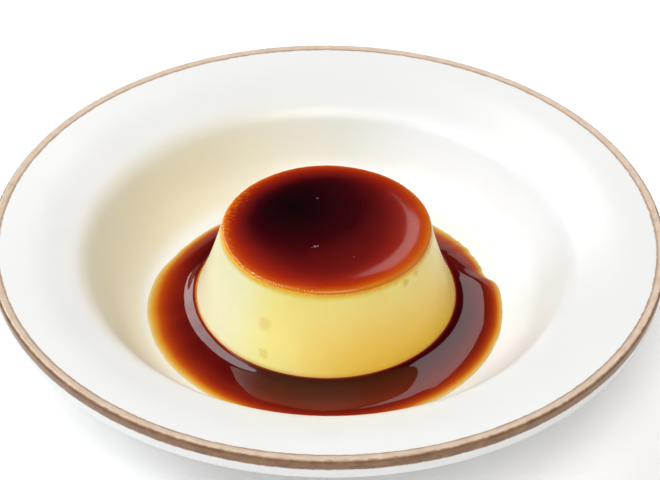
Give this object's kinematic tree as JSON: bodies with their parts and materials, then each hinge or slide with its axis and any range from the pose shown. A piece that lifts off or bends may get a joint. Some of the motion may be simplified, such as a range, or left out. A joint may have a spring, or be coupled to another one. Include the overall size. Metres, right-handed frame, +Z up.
{
  "type": "caramel pudding",
  "caption": "Turned-out caramel pudding with a dark caramel top, standing in a pool of caramel sauce in a white soup plate with a brown-banded rim.",
  "frame": {"origin": "centre of the plate's foot ring, on the table", "axes": "+Z up, along the plate's axis; -Y towards the viewer"},
  "size_m": [0.2204, 0.2204, 0.0457],
  "materials": {
    "soup_plate": "gloss",
    "custard": "satin",
    "caramel_top": "gloss",
    "caramel_sauce": "gloss"
  },
  "bodies": {
    "root": {"soup_plate": "soup_plate", "custard": "custard", "caramel_top": "caramel_top", "caramel_sauce": "caramel_sauce"}
  },
  "joints": []
}
